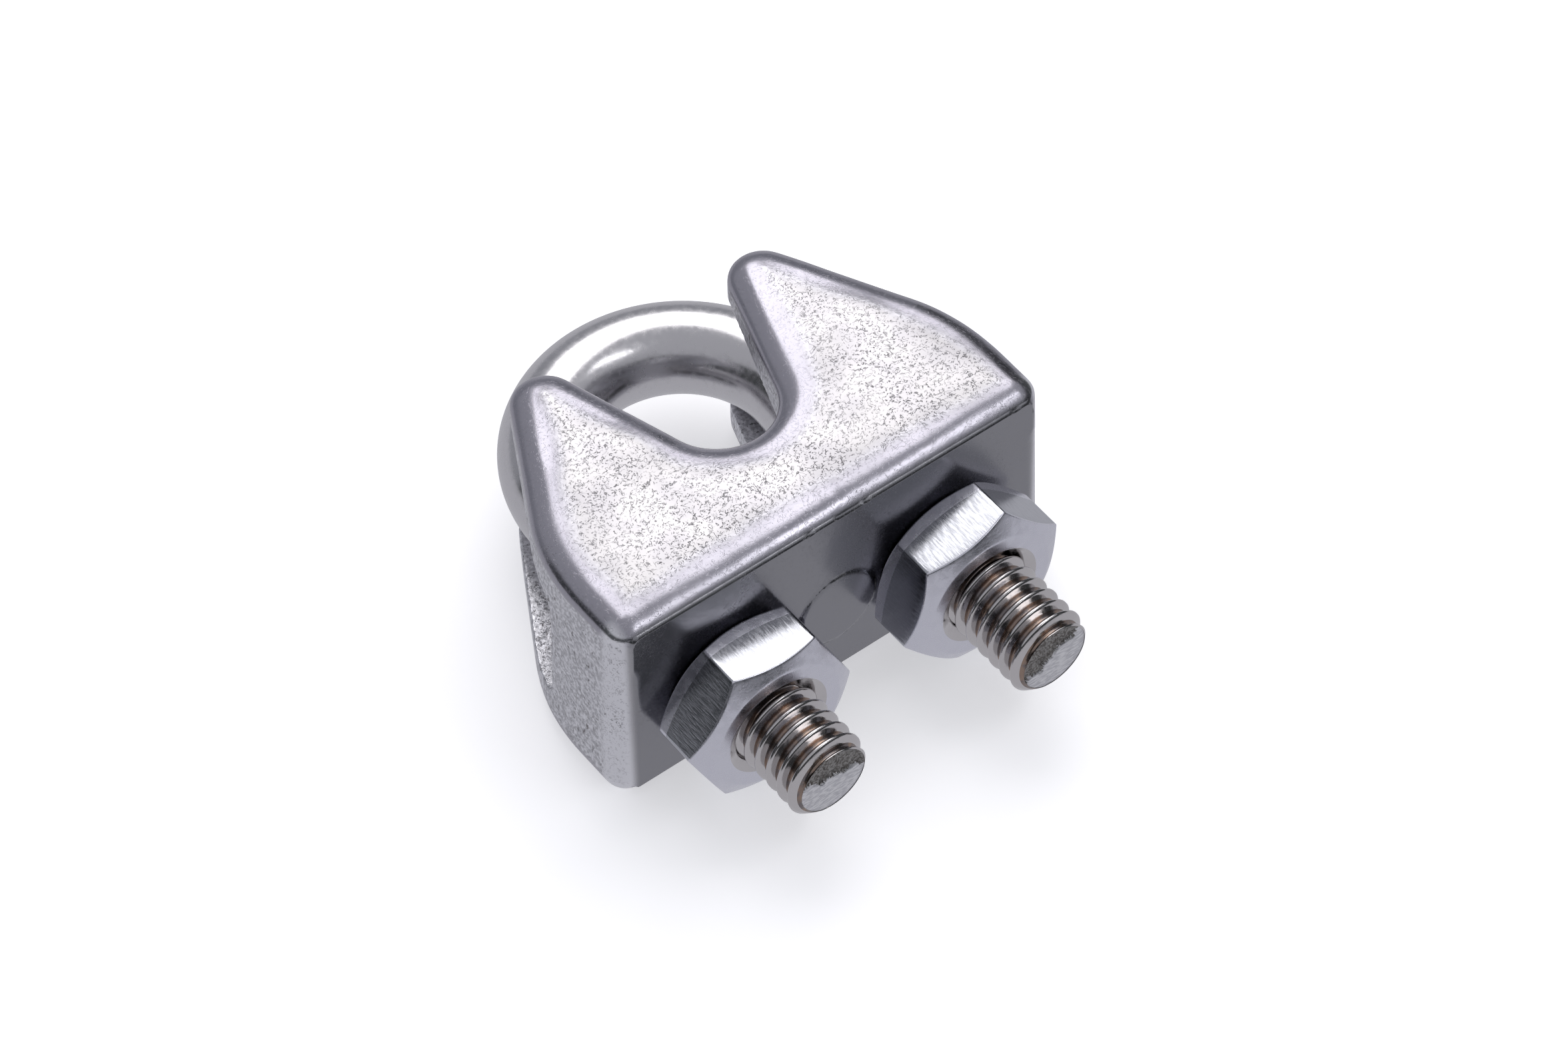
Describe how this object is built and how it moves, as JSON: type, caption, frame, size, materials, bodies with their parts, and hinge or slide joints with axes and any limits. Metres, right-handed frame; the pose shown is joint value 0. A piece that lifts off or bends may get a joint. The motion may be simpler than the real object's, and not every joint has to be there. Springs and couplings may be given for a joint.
{
  "type": "wire rope clip",
  "caption": "Wire rope clip: a V-notched cast saddle, a threaded U-bolt and hexagon nuts that draw the bow down onto two parts of a thin wire rope.",
  "frame": {"origin": "middle of the rope seat: on the axis of the saddle's rounded notch, half-way through the saddle's thickness", "axes": "+X from the left nut to the right nut, +Y from the nuts towards the bow, +Z along the rope, up out of the plate that shows its face when the clip lies on its side"},
  "size_m": [0.022, 0.0253, 0.0106],
  "materials": {
    "cast_steel": "tumbled and pickled satin with fine pits, bright rounded edges",
    "rod_steel": "polished",
    "nut_steel": "bright machined"
  },
  "bodies": {
    "saddle": {"saddle": "cast_steel"},
    "u_bolt": {"u_bolt": "rod_steel"},
    "nut_left": {"nut_left": "nut_steel"},
    "nut_right": {"nut_right": "nut_steel"}
  },
  "joints": [
    {"name": "u_bolt_slide", "type": "slide", "parent": "saddle", "child": "u_bolt", "axis": [0, -1, 0], "range_m": [-0.00315, 0.0049]},
    {"name": "nut_left_turn", "type": "hinge", "parent": "saddle", "child": "nut_left", "pos_m": [-0.00535, -0.00945, -0.0011], "axis": [0, 1, 0], "range_deg": [-1620, 2520]},
    {"name": "nut_right_turn", "type": "hinge", "parent": "saddle", "child": "nut_right", "pos_m": [0.00535, -0.00945, -0.0011], "axis": [0, 1, 0], "range_deg": [-1620, 2520]}
  ],
  "couplings": [
    {"joint": "nut_left_turn", "follows": "u_bolt_slide", "rad_per_m": 8976},
    {"joint": "nut_right_turn", "follows": "u_bolt_slide", "rad_per_m": 8976}
  ]
}
